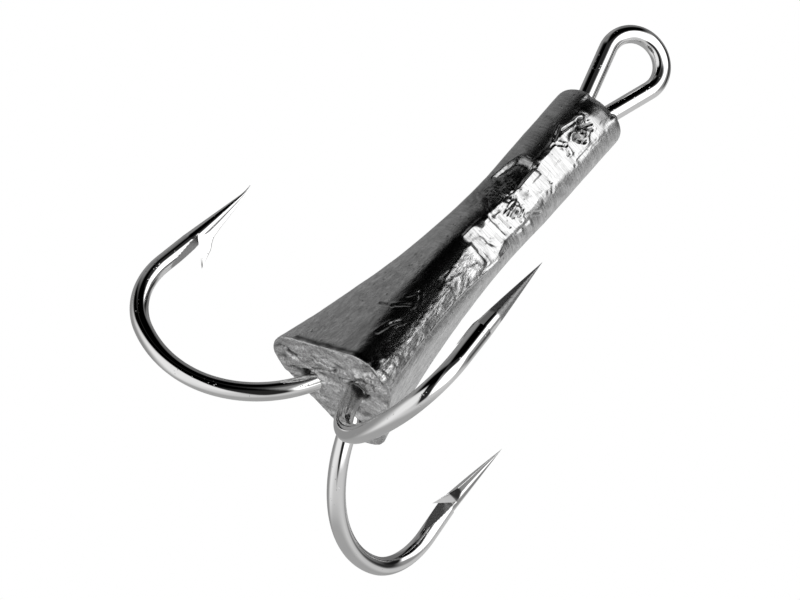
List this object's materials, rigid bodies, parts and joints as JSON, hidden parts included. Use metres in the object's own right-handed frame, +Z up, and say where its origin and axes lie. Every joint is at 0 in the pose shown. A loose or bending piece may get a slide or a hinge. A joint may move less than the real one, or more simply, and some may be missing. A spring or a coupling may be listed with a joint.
{
  "type": "weighted treble hook",
  "caption": "Brazed treble fishing hook of nickelled round wire, with three barbed hooks, a line eye and a flared lead weight cast over its shank.",
  "frame": {"origin": "centre of the line eye's loop", "axes": "+Z up along the shank towards the line, hooks and weight below; +Y towards the single hook; +X across the eye, towards the left-hand hook of the double hook"},
  "size_m": [0.0435, 0.0436, 0.0642],
  "materials": {
    "nickelled_wire": "bright nickel plate on drawn steel wire",
    "cast_lead": "dull cast lead, bright where it is dented and scraped",
    "braze": "dull braze"
  },
  "bodies": {
    "root": {"double_hook": "nickelled_wire", "single_hook": "nickelled_wire", "lead_weight": "cast_lead", "braze_seam_back": "braze", "braze_seam_left": "braze", "braze_seam_right": "braze"}
  },
  "joints": []
}
